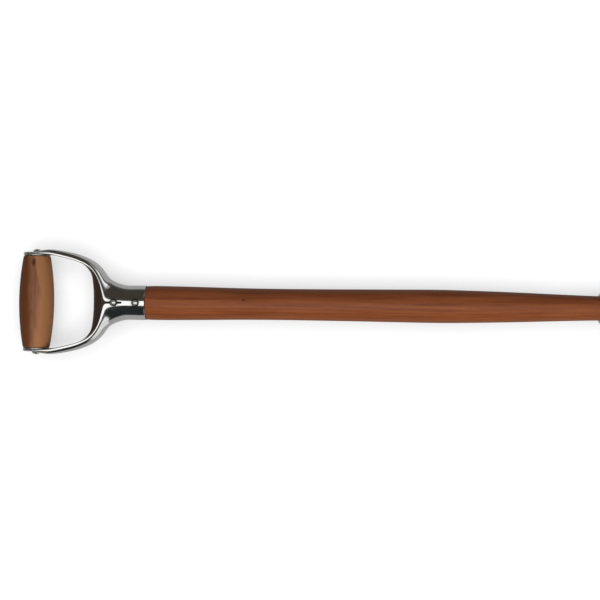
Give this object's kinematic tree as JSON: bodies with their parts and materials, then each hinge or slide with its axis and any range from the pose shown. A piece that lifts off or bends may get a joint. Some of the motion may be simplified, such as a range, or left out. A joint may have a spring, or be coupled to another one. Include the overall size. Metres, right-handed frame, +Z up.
{
  "type": "garden spade",
  "caption": "Garden digging spade: D-shaped grip with a turned wooden barrel on a steel yoke, wooden shaft, riveted socket and a treaded steel blade.",
  "frame": {"origin": "middle of the spade's footprint, on the ground it lies on", "axes": "+X along the shaft from the grip to the cutting edge, +Y along the grip barrel, +Z up out of the blade's front face"},
  "size_m": [1.0506, 0.192, 0.0414],
  "materials": {
    "shaft_wood": "oiled brown hardwood, grain along the shaft, low sheen",
    "grip_wood": "oiled brown hardwood, turned, grain along the barrel",
    "block_wood": "dark stained wood, satin",
    "polished_steel": "mirror-polished stainless steel with fine polishing lines",
    "rivet_steel": "polished steel, hammered round heads",
    "washer_steel": "dull dark steel"
  },
  "bodies": {
    "spade": {"shaft": "shaft_wood", "yoke": "polished_steel", "throat_block": "block_wood", "yoke_rivet_upper": "rivet_steel", "yoke_rivet_lower": "rivet_steel", "grip_axle": "rivet_steel", "grip_washer_left": "washer_steel", "grip_washer_right": "washer_steel", "socket": "polished_steel", "socket_rivet_upper": "rivet_steel", "socket_rivet_lower": "rivet_steel", "blade": "polished_steel", "tread_left": "polished_steel", "tread_right": "polished_steel"},
    "grip": {"grip_barrel": "grip_wood"}
  },
  "joints": [
    {"name": "grip_turn", "type": "hinge", "parent": "spade", "child": "grip", "pos_m": [-0.50667, 0, 0.0204], "axis": [0, 1, 0], "continuous": true}
  ]
}
